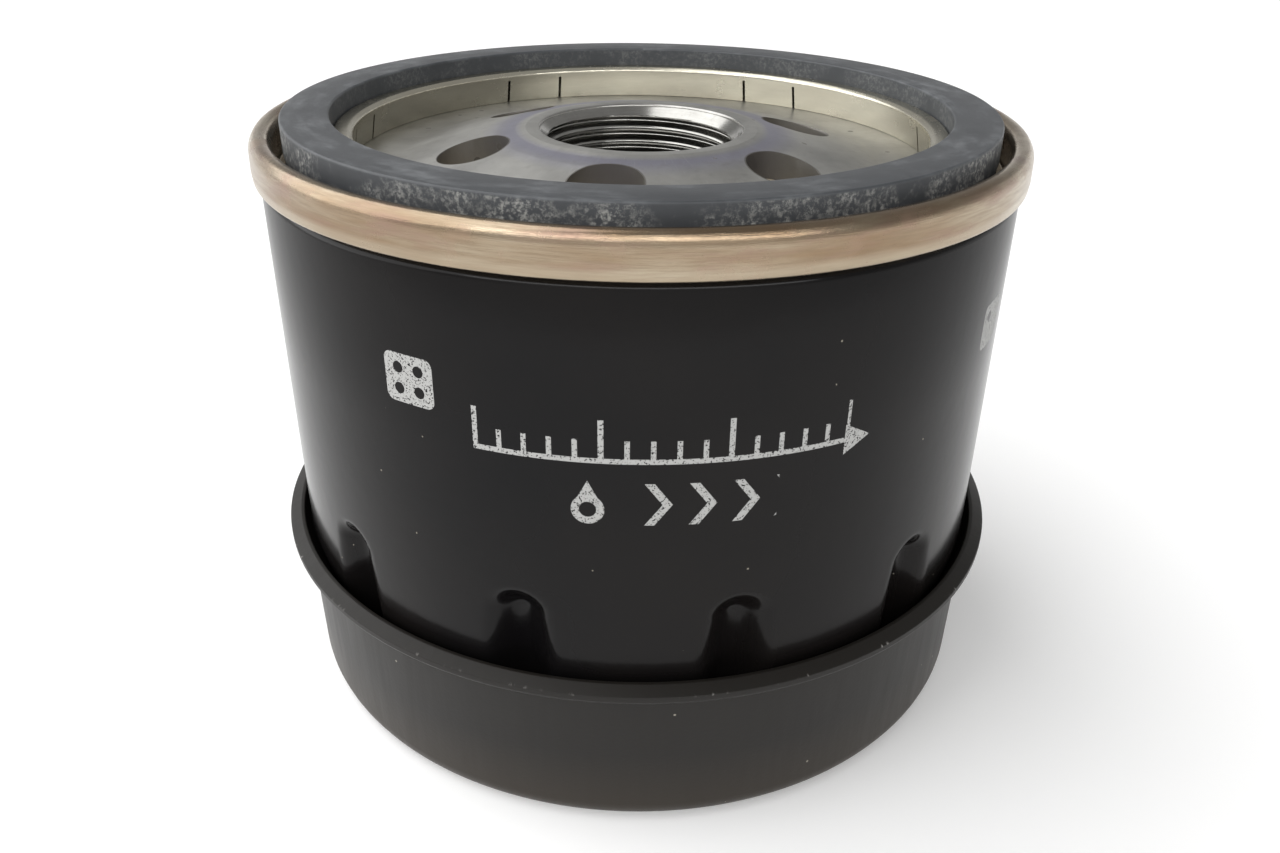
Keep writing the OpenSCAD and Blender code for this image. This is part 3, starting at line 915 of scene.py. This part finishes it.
def flute_tree() -> GeometryTree:
    """Returns a tree that presses round-topped flutes into a turned wall, with soft shoulders."""
    numbers = {"Count": 12, "Turn": 0.0, "Wall radius": 0.0377, "Reach": 0.003, "Flat": 0.0008,
               "Depth": 0.0016, "Fall": 0.08, "Spread": 0.1, "Round height": 0.0234, "Blend": 0.001}
    made = GeometryTree("pressed_flutes", numbers)
    x, y, z = made.split(made.value("GeometryNodeInputPosition"))
    radius = (x * x + y * y).math("SQRT").math("MAXIMUM", 1e-6)
    pitch = TURN / made.given("Count")
    turned = x.math("ARCTAN2", -y) - made.given("Turn") + pitch / 2
    angle = turned.math("FLOORED_MODULO", pitch) - pitch / 2
    wall, reach, flat = made.given("Wall radius"), made.given("Reach"), made.given("Flat")
    sideways = wall * angle
    above = (z - made.given("Round height")).math("MAXIMUM", 0.0)
    away = (sideways * sideways + above * above).math("SQRT")
    below = (made.given("Round height") - z).math("MAXIMUM", 0.0)
    wide = reach + below * made.given("Spread")
    share = ((wide - away) / (wide - flat)).clear()
    pressed_in = share * share * (3.0 - share * 2.0)
    pressed = wall - (made.given("Depth") + below * made.given("Fall")) * pressed_in
    blend = made.given("Blend") * pressed_in + 1e-7
    overlap = (blend - abs(radius - pressed)).math("MAXIMUM", 0.0) / blend
    target = radius.math("MINIMUM", pressed) - overlap * overlap * blend * 0.25 * (pressed_in > 1e-4)
    ratio = target / radius
    inputs = {"Geometry": made.given("Geometry"), "Position": made.join(x * ratio, y * ratio, z)}
    moved = made.value("GeometryNodeSetPosition", inputs=inputs)
    made.finish(moved)
    return made


def coil_tree() -> GeometryTree:
    """Returns a tree that draws a round wire along a helix."""
    numbers = {"Turns": 5.0, "Coil radius": 0.005, "Wire radius": 0.0005, "Low": 0.02, "High": 0.03}
    made = GeometryTree("wound_wire", numbers)
    low, high, wire = made.given("Low"), made.given("High"), made.given("Wire radius")
    helix = made.value("GeometryNodeCurveSpiral",
                       inputs={"Resolution": 64, "Rotations": made.given("Turns"),
                               "Start Radius": made.given("Coil radius"),
                               "End Radius": made.given("Coil radius"), "Height": high - low - wire * 2.0})
    circle = made.value("GeometryNodeCurvePrimitiveCircle", {"mode": "RADIUS"},
                        {"Resolution": 16, "Radius": wire})
    swept = made.value("GeometryNodeCurveToMesh",
                       inputs={"Curve": helix, "Profile Curve": circle, "Fill Caps": True})
    lifted = made.value("GeometryNodeTransform",
                        inputs={"Geometry": swept, "Translation": made.join(0.0, 0.0, low + wire)})
    made.finish(lifted)
    return made


RINGS = ring_tree()
FLUTES = flute_tree()
COILS = coil_tree()


def ring_of(name: str, mesh: bpy.types.Mesh, count: int, turn: float,
            finish: Finish | None = None) -> bpy.types.Object:
    """Repeats a mesh round the axis.

    Args:
        name: the new object's name.
        mesh: the mesh at azimuth 0.
        count: number of copies.
        turn: azimuth of the first copy, in degrees.
        finish: the copies' finish, or None.

    Returns:
        One object that holds all the copies.
    """
    piece = linked(name, mesh)
    RINGS.apply(piece, finish.material() if finish else None, Count=count, Turn=math.radians(turn))
    return baked(piece)


def settle(piece: bpy.types.Object, finish: Finish, body: Body, slot: str, *nodes: str) -> None:
    """Gives a finished piece its finish and body, and hides the CAD nodes that it stands for."""
    piece.data.materials.clear()
    piece.data.materials.append(finish.material())
    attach(piece, body.value)
    if nodes:
        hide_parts(*nodes)
    LOG.info("%s: %d faces", piece.name, len(piece.data.polygons))


def extent(node: str) -> tuple[float, float, float]:
    """Returns a CAD node's outer radius, lowest and highest Z, in millimetres."""
    low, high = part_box(node)
    return (high.x - low.x) / 2 / MM, low.z / MM, high.z / MM


# --------------------------------------------------------------- assemblies


@dataclass
class GasketRing:
    """The square rubber ring on top of the filter.

    Args:
        width: width of its section, in millimetres.
        edge: radius of its top edges, in millimetres.
    """

    width: float = 4.6
    edge: float = 0.22

    def build(self) -> None:
        """Builds and dresses the ring."""
        outer, low, high = extent("sealing_gasket")
        inner = outer - self.width
        corners = [(inner, low, 0.3), (outer - 0.12, low, 0.3), (outer - 0.12, low + 1.9, 0.0),
                   (outer, low + 2.05, 0.0), (outer, high, self.edge), (inner, high, self.edge)]
        piece = linked("gasket_ring", revolve("gasket_ring", rounded(corners)))
        settle(piece, GASKET, Body.FILTER, "gasket_rubber", "sealing_gasket")


@dataclass
class SeamedLid:
    """The tinned lid: gasket channel, inner rib with crimp tabs, and the rolled seam.

    Args:
        sheet: thickness of the sheet, in millimetres.
        rib_r: outer radius of the inner rib.
        rib_w: width of the rib.
        rib_top_z: height of the rib's top.
        chuck_r: outer radius of the wall between the channel and the seam.
        tab_angles: azimuths of the slits on each side of a tab, in degrees.
        tab_turn: azimuth of the first tab.
        tab_count: number of tabs.
        slit_w: width of a slit.
        slit_top_z: height of a slit's upper end.
        hook_in_r: inner radius of the sheet folded up inside the seam.
        hook_out_r: outer radius of the same sheet.
        hook_top_z: height of its edge.
    """

    sheet: float = 0.45
    rib_r: float = 30.85
    rib_w: float = 2.05
    rib_top_z: float = 59.3
    chuck_r: float = 36.88
    tab_angles: tuple[float, float] = (-6.7, 6.7)
    tab_turn: float = 27.6
    tab_count: int = 6
    slit_w: float = 0.32
    slit_top_z: float = 58.35
    hook_in_r: float = 37.32
    hook_out_r: float = 37.70
    hook_top_z: float = 58.5

    def build(self) -> None:
        """Builds and dresses the lid."""
        piece = linked("lid_shell", revolve("lid_shell", rounded(self.section(), 6)))
        for angle in self.tab_angles:
            low, high = (-self.slit_w / 2, -30.0, 55.0), (self.slit_w / 2, -28.0, self.slit_top_z)
            slit = block("slit", low, high)
            cut(piece, ring_of("slit_cutter", slit, self.tab_count, self.tab_turn + angle))
        settle(piece, SEAM_TIN, Body.FILTER, "tinplate", "seaming_lid")

    def section(self) -> list[tuple[float, float, float]]:
        """Returns the lid's closed outline, from the rib's foot round to the channel's underside."""
        seam_r, floor_z, top_z = extent("seaming_lid")
        t, knee = self.sheet, self.rib_top_z - 0.35
        bottom_z = floor_z + 0.2
        foot = self.rib_r - self.rib_w + 0.6
        lip = self.rib_r - self.rib_w
        hook_in, hook_out, hook_z = self.hook_in_r, self.hook_out_r, self.hook_top_z
        return [
            (foot + t, floor_z, 0.1), (lip + t, knee - t, 0.2), (self.rib_r - t, self.rib_top_z - t, 0.2),
            (self.rib_r - t, floor_z, 0.3), (self.chuck_r, floor_z, 0.35),
            (self.chuck_r, top_z - t - 0.05, 0.4), (seam_r - t, top_z - t - 0.05, 0.4),
            (seam_r - t, bottom_z + t, 0.15), (hook_out, bottom_z + t, 0.15), (hook_out, hook_z, 0.1),
            (hook_in, hook_z, 0.1), (hook_in, bottom_z, 0.35), (seam_r - 0.12, bottom_z, 0.4),
            (seam_r, bottom_z + 1.1, 2.0), (seam_r - 0.05, top_z - 0.9, 1.5),
            (seam_r - 0.55, top_z - 0.12, 0.7), (seam_r - 1.15, top_z, 1.0),
            (self.chuck_r - t + 0.35, top_z - 0.16, 0.8),
            (self.chuck_r - t, top_z - 1.0, 0.8), (self.chuck_r - t, floor_z + t, 0.3),
            (self.rib_r, floor_z + t, 0.2), (self.rib_r, self.rib_top_z, 0.35),
            (lip + 0.55, self.rib_top_z - 0.04, 0.6), (lip, knee, 0.35), (foot, floor_z, 0.1),
        ]


@dataclass
class TappingPlate:
    """The dished steel plate with its threaded hub and inlet holes.

    Args:
        thickness: thickness of the plate, in millimetres.
        minor_r: radius of the thread's crests.
        major_r: radius of the thread's roots.
        pitch: pitch of the thread.
        neck_r: outer radius of the hub's neck.
        hub_flat_r: radius where the hub's flat ends.
        cone_foot_r: radius where the cone meets the flat rim.
        rim_top_z: height of the flat rim's face.
        hole_r: radius of an inlet hole.
        hole_ring_r: distance of the holes from the axis.
        hole_count: number of holes.
        hole_turn: azimuth of the first hole, in degrees.
        rows_per_turn: rows of faces in one turn of the thread.
        mouth_r: radius of the bore's countersunk mouth.
        low: height of the neck's foot, measured on the frame.
        high: height of the hub's face, measured on the frame.
    """

    thickness: float = 3.0
    minor_r: float = 9.188
    major_r: float = 10.02
    pitch: float = 1.5
    neck_r: float = 12.3
    hub_flat_r: float = 14.3
    cone_foot_r: float = 24.6
    rim_top_z: float = 55.7
    hole_r: float = 3.55
    hole_ring_r: float = 17.6
    hole_count: int = 6
    hole_turn: float = -10.4
    rows_per_turn: int = 24
    mouth_r: float = 10.45
    low: float = field(init=False)
    high: float = field(init=False)

    def build(self) -> None:
        """Builds and dresses the plate."""
        outer, self.low, self.high = extent("tapping_plate")
        body = rounded(self.section(outer), 6)
        rows = round((self.high - self.low) / self.pitch * self.rows_per_turn)
        depth = self.high - 0.25 - self.low
        bore = [(self.minor_r, self.low + depth * i / rows) for i in range(rows + 1)]
        mesh = revolve("threaded_plate", body + bore, shape=self.threaded)
        piece = cut(linked("threaded_plate", mesh), self.hole_cutters())
        settle(piece, STEEL, Body.FILTER, "plate_steel", "tapping_plate")

    def section(self, outer: float) -> list[tuple[float, float, float]]:
        """Returns the plate's open outline, from the top of the bore round to its bottom."""
        t = self.thickness
        slope = (self.high - self.rim_top_z) / (self.cone_foot_r - self.hub_flat_r)
        step_r, step_z = self.hub_flat_r - 2.4, self.high - 0.22
        return [
            (self.mouth_r, self.high, 0.25), (step_r, self.high, 0.6),
            (step_r + 1.0, step_z, 1.2), (self.hub_flat_r + 0.6, step_z - slope, 5.0),
            (self.cone_foot_r, self.rim_top_z, 6.0), (outer, self.rim_top_z, 0.3),
            (outer, self.rim_top_z - t, 0.4), (self.cone_foot_r, self.rim_top_z - t, 5.0),
            (self.hub_flat_r, self.high - t, 2.0), (self.neck_r, self.high - t, 1.0),
            (self.neck_r, self.low, 0.4), (self.minor_r + 0.9, self.low, 0.1),
        ]

    def threaded(self, r: np.ndarray, z: np.ndarray, azimuth: np.ndarray) -> np.ndarray:
        """Returns each point's radius, with the helical thread on the bore's rows."""
        crest = 0.5 + 0.5 * np.cos(TURN * z / self.pitch - azimuth)
        thread = self.major_r - (self.major_r - self.minor_r) * crest
        top = self.mouth_r - 0.05 - (self.high - 0.25 - z) * 1.3
        bottom = self.minor_r + 0.85 - (z - self.low) * 1.2
        return np.where(r > self.minor_r + 0.01, r, np.maximum(thread, np.maximum(top, bottom)))

    def hole_cutters(self) -> bpy.types.Object:
        """Returns the ring of cutters for the inlet holes, each with a rolled upper edge."""
        slope = (self.high - self.rim_top_z) / (self.cone_foot_r - self.hub_flat_r)
        face_z = self.high - (self.hole_ring_r - self.hub_flat_r) * slope - 0.05
        roll = 0.3
        spool = [(0.0, -6.0), (self.hole_r, -6.0), (self.hole_r, -roll)]
        spool += [(self.hole_r + roll * (1 - math.cos(a)), -roll + roll * math.sin(a))
                  for a in np.radians([20, 40, 60, 76])]
        spool += [(self.hole_r + 1.4 * roll, 2.0), (0.0, 2.0)]
        mesh = revolve("spool", spool, closed=False, segments=72)
        for vertex in mesh.vertices:
            vertex.co.z += face_z * MM + vertex.co.y * slope
            vertex.co.y -= self.hole_ring_r * MM
        return ring_of("hole_cutter", mesh, self.hole_count, self.hole_turn)


@dataclass
class FlutedCan:
    """The deep-drawn can with flutes round its closed end.

    Args:
        wall_r: outer radius of the wall, in millimetres.
        sheet: thickness of the sheet.
        corner_r: outer radius of the corner round the closed end.
        flute_count: number of flutes.
        flute_reach: half width of a flute with its shoulders.
        flute_flat: half width of a flute's floor.
        flute_depth: depth of a flute.
        flute_fall: how much deeper a flute gets with each millimetre downwards.
        flute_spread: how much wider a flute's half gets with each millimetre downwards.
        flute_top_z: height of a flute's round top.
        flute_turn: azimuth of the first flute, in degrees.
        shoulder: reach of the soft edge where a flute runs out.
        panel_h: height of the raised panel in the closed end.
        fine_top_z: height up to which the wall has closely spaced rows.
        neck_in: how far the wall steps in under the seam.
        segments: steps round the axis.
    """

    wall_r: float = 37.9
    sheet: float = 0.4
    corner_r: float = 9.0
    flute_count: int = 12
    flute_reach: float = 3.1
    flute_flat: float = 0.5
    flute_depth: float = 1.65
    flute_fall: float = 0.09
    flute_spread: float = 0.13
    flute_top_z: float = 27.0
    flute_turn: float = 14.1
    shoulder: float = 1.3
    panel_h: float = 1.0
    fine_top_z: float = 28.6
    neck_in: float = 0.6
    segments: int = 480

    def build(self) -> None:
        """Builds and dresses the can."""
        mesh = revolve("can_shell", self.mid_line(), closed=False, segments=self.segments)
        piece = linked("can_shell", mesh)
        FLUTES.apply(piece, PAINT.material(), Count=self.flute_count, Turn=math.radians(self.flute_turn),
                     Wall_radius=(self.wall_r - self.sheet / 2) * MM, Reach=self.flute_reach * MM,
                     Flat=self.flute_flat * MM, Depth=self.flute_depth * MM, Fall=self.flute_fall,
                     Spread=self.flute_spread,
                     Round_height=(self.flute_top_z - self.flute_reach) * MM, Blend=self.shoulder * MM)
        wall = piece.modifiers.new("wall", "SOLIDIFY")
        wall.thickness = self.sheet * MM
        wall.offset = 0.0
        wall.use_even_offset = True
        settle(baked(piece), PAINT, Body.FILTER, "can_paint", "can")

    def mid_line(self) -> Outline:
        """Returns the middle of the sheet, from the closed end's centre up to the hook in the seam."""
        _, low, high = extent("can")
        half = self.sheet / 2
        wall = self.wall_r - half
        floor = low + half
        corner = self.corner_r - half
        centre_r, centre_z = wall - corner, floor + corner
        neck, rows = wall - self.neck_in, 44
        line: Outline = [(0.0, floor + self.panel_h), (19.6, floor + self.panel_h), (20.3, floor + 0.86),
                         (20.8, floor + 0.5), (21.3, floor + 0.14), (22.0, floor)]
        line += [(centre_r + corner * math.sin(a), centre_z - corner * math.cos(a))
                 for a in np.linspace(0, math.pi / 2, 28)]
        line += [(wall, centre_z + (self.fine_top_z - centre_z) * i / rows) for i in range(1, rows + 1)]
        line += [(wall, 40.0), (wall, 55.0), (wall - 0.15, 55.3), (wall - 0.45, 55.6), (neck, 55.9)]
        line += [(neck, high - 0.5), (wall - 0.45, high - 0.27), (wall - 0.1, high - half),
                 (wall + 0.05, high - half), (wall + 0.2, high - 0.5), (wall + 0.22, 57.0)]
        return line


@dataclass
class DripCup:
    """The loose plastic cup under the filter.

    Args:
        foot_r: outer radius of the wall's foot, in millimetres.
        floor_z: height of the floor's upper face.
        recess_r: radius of the recess under the floor.
        recess_h: depth of the recess.
        rest_count: number of rests inside.
        rest_w: width of a rest.
        rest_inner_r: distance of a rest's inner end from the axis.
        rest_top_z: height of a rest's top.
    """

    foot_r: float = 38.1
    floor_z: float = 1.7
    recess_r: float = 30.0
    recess_h: float = 0.6
    rest_count: int = 8
    rest_w: float = 1.4
    rest_inner_r: float = 25.0
    rest_top_z: float = 9.85

    def build(self) -> None:
        """Builds and dresses the cup and its rests."""
        piece = linked("cup_shell", revolve("cup_shell", rounded(self.section(), 8), closed=False))
        settle(piece, CUP_PLASTIC, Body.CUP, "cup_plastic", "drip_cup")
        low = (-self.rest_w / 2, -37.05, 1.2)
        high = (self.rest_w / 2, -self.rest_inner_r, self.rest_top_z)
        rest = block("cup_rests", low, high, 0.25)
        rests = ring_of("cup_rests", rest, self.rest_count, 0.0, CUP_PLASTIC)
        settle(rests, CUP_PLASTIC, Body.CUP, "cup_plastic")

    def section(self) -> list[tuple[float, float, float]]:
        """Returns the cup's outline, from the middle of its underside round to the middle of its floor."""
        rim_r, _, high = extent("drip_cup")
        return [
            (0.0, self.recess_h, 0.0), (self.recess_r - 0.4, self.recess_h, 0.4),
            (self.recess_r, 0.0, 0.25), (self.foot_r, 0.0, 2.6),
            (38.48, high - 1.95, 0.35), (rim_r - 0.25, high - 1.5, 0.4), (rim_r, high - 1.1, 0.3),
            (rim_r, high - 0.55, 0.12), (39.0, high, 0.3), (38.62, high, 0.18), (38.1, high - 1.6, 1.5),
            (37.3, 15.0, 2.0), (self.foot_r - 1.2, self.floor_z, 2.4), (0.0, self.floor_z, 0.0),
        ]


@dataclass
class BypassSpring:
    """The coil spring over the bypass disc.

    Args:
        wire_r: radius of the wire, in millimetres.
        coil_r: radius of the coil's middle, in millimetres.
        turns: number of turns.
        travel: how far the disc presses the spring, in millimetres; not used.
    """

    wire_r: float = 0.45
    coil_r: float = 5.0
    turns: float = 5.0
    travel: float = 3.0

    def build(self) -> None:
        """Builds and dresses the spring."""
        _, low, high = extent("bypass_spring")
        piece = linked("coil_spring", bpy.data.meshes.new("coil_spring"))
        COILS.apply(piece, SPRING_STEEL.material(), Turns=self.turns, Coil_radius=self.coil_r * MM,
                    Wire_radius=self.wire_r * MM, Low=low * MM, High=high * MM)
        settle(baked(piece), SPRING_STEEL, Body.FILTER, "spring_steel", "bypass_spring")
        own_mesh(piece)


INNER_FINISHES: dict[str, Finish] = {
    "seam_sealant": COMPOUND,
    "anti_drain_valve": VALVE_RUBBER,
    "valve_retainer": TUBE_STEEL,
    "outlet_collar": BLACK_RUBBER,
    "upper_end_cap": CAP_TIN,
    "upper_potting": POTTING,
    "pleated_medium": PAPER,
    "media_seam_clip": TUBE_STEEL,
    "centre_tube": TUBE_STEEL,
    "lower_potting": POTTING,
    "lower_end_cap": CAP_TIN,
    "bypass_cage": TUBE_STEEL,
    "bypass_disc": DISC_STEEL,
    "bypass_seal": BLACK_RUBBER,
    "element_spring": SPRING_STEEL,
}


def dress_inner_parts() -> None:
    """Gives the CAD nodes that stay their finishes."""
    for node, finish in INNER_FINISHES.items():
        NODES[node].data.materials.clear()
        NODES[node].data.materials.append(finish.material())
        LOG.info("%s: finish %s", node, finish.name)


# ------------------------------------------------------------------- studio


@dataclass
class Studio:
    """A pale floor, soft lights and the camera.

    Args:
        eye: the camera's place, in millimetres.
        down: the camera's tilt below the horizon, in degrees.
        roll: the camera's roll, in degrees.
        lens: focal length on a 36 mm sensor.
        horizon_light: strength of the surroundings low down.
        front_light: strength of the surroundings behind the camera.
        high_light: strength of the surroundings overhead.
        key_power: strength of the key light, in watts per square metre.
        key_angle: width of the key light, in degrees.
        strip_power: power of the long light above the camera, in watts.
    """

    eye: tuple[float, float, float] = (0.24, -112.92, 84.34)
    down: float = 28.35
    roll: float = 0.76
    lens: float = 30.5
    horizon_light: float = 0.95
    front_light: float = 0.9
    high_light: float = 0.32
    key_power: float = 2.8
    key_angle: float = 80.0
    strip_power: float = 3.0

    def build(self) -> None:
        """Builds the floor, the lights and the camera."""
        bpy.context.scene.view_settings.view_transform = "Standard"
        self.floor()
        self.world()
        self.sun("key", (-0.80, 0.10, 0.80), self.key_angle, self.key_power)
        self.strip("strip", (0.0, -600.0, 560.0), (1500.0, 110.0), self.strip_power)
        self.camera()

    def floor(self) -> None:
        """Makes the floor."""
        work = bmesh.new()
        bmesh.ops.create_grid(work, x_segments=1, y_segments=1, size=4.0)
        mesh = bpy.data.meshes.new("floor")
        work.to_mesh(mesh)
        work.free()
        piece = linked("floor", mesh)
        material = bpy.data.materials.new("floor")
        shader = Shader(material)
        tone = shader.mix(shader.noise(6.0), (0.94, 0.94, 0.94), (0.96, 0.96, 0.96))
        shader.surface(tone, 0.6 + shader.noise(20.0) * 0.1, Specular_IOR_Level=0.2,
                       Emission_Color=(1, 1, 1, 1), Emission_Strength=0.1)
        mesh.materials.append(material)

    def world(self) -> None:
        """Makes the soft light from all round, brighter low down and on the camera's side."""
        world = bpy.data.worlds.new("studio")
        bpy.context.scene.world = world
        world.use_nodes = True
        graph = Graph(world.node_tree)
        _, back, up = graph.split(graph.value("ShaderNodeTexCoord", output="Generated"))
        horizon = (1.0 - up.ramp(0.05, 0.42)) * self.horizon_light
        front = (1.0 - back.ramp(-0.85, -0.25)) * self.front_light
        strength = horizon.either(front).math("MAXIMUM", self.high_light)
        background = world.node_tree.nodes["Background"]
        background.inputs["Color"].default_value = (1.0, 0.995, 0.985, 1.0)
        world.node_tree.links.new(strength.socket, background.inputs["Strength"])

    @staticmethod
    def sun(name: str, away: tuple[float, float, float], angle: float, power: float) -> None:
        """Makes a broad soft light that is even over the whole floor.

        Args:
            name: the light's name.
            away: direction towards the light.
            angle: its width as seen from the object, in degrees.
            power: its strength, in watts per square metre.
        """
        data = bpy.data.lights.new(name, "SUN")
        data.angle = math.radians(angle)
        data.energy = power
        lamp = linked(name, data)
        lamp.matrix_world = Vector(away).to_track_quat("Z", "Y").to_matrix().to_4x4()

    @staticmethod
    def strip(name: str, place: tuple[float, float, float], size: tuple[float, float],
              power: float) -> None:
        """Makes a long area light that points at the object.

        Args:
            name: the light's name.
            place: where it hangs, in millimetres.
            size: its width and depth, in millimetres.
            power: its power, in watts.
        """
        data = bpy.data.lights.new(name, "AREA")
        data.shape = "RECTANGLE"
        data.size, data.size_y = size[0] * MM, size[1] * MM
        data.energy = power
        lamp = linked(name, data)
        spot = Vector(place) * MM
        lamp.matrix_world = Matrix.Translation(spot) @ spot.to_track_quat("Z", "Y").to_matrix().to_4x4()

    def camera(self) -> None:
        """Makes the camera."""
        data = bpy.data.cameras.new("camera")
        data.sensor_width = 36.0
        data.lens = self.lens
        data.clip_start = 0.005
        piece = linked("camera", data)
        tilt = Matrix.Rotation(math.radians(90.0 - self.down), 4, "X")
        roll = Matrix.Rotation(math.radians(self.roll), 4, "Z")
        piece.matrix_world = Matrix.Translation([v * MM for v in self.eye]) @ tilt @ roll
        bpy.context.scene.camera = piece


def main() -> None:
    """Builds the object's looks and the studio in order."""
    logging.basicConfig(level=logging.INFO, format="%(message)s")
    Studio().build()
    for assembly in (DripCup(), FlutedCan(), SeamedLid(), TappingPlate(), GasketRing(), BypassSpring()):
        assembly.build()
    dress_inner_parts()


if __name__ == "__main__":
    main()
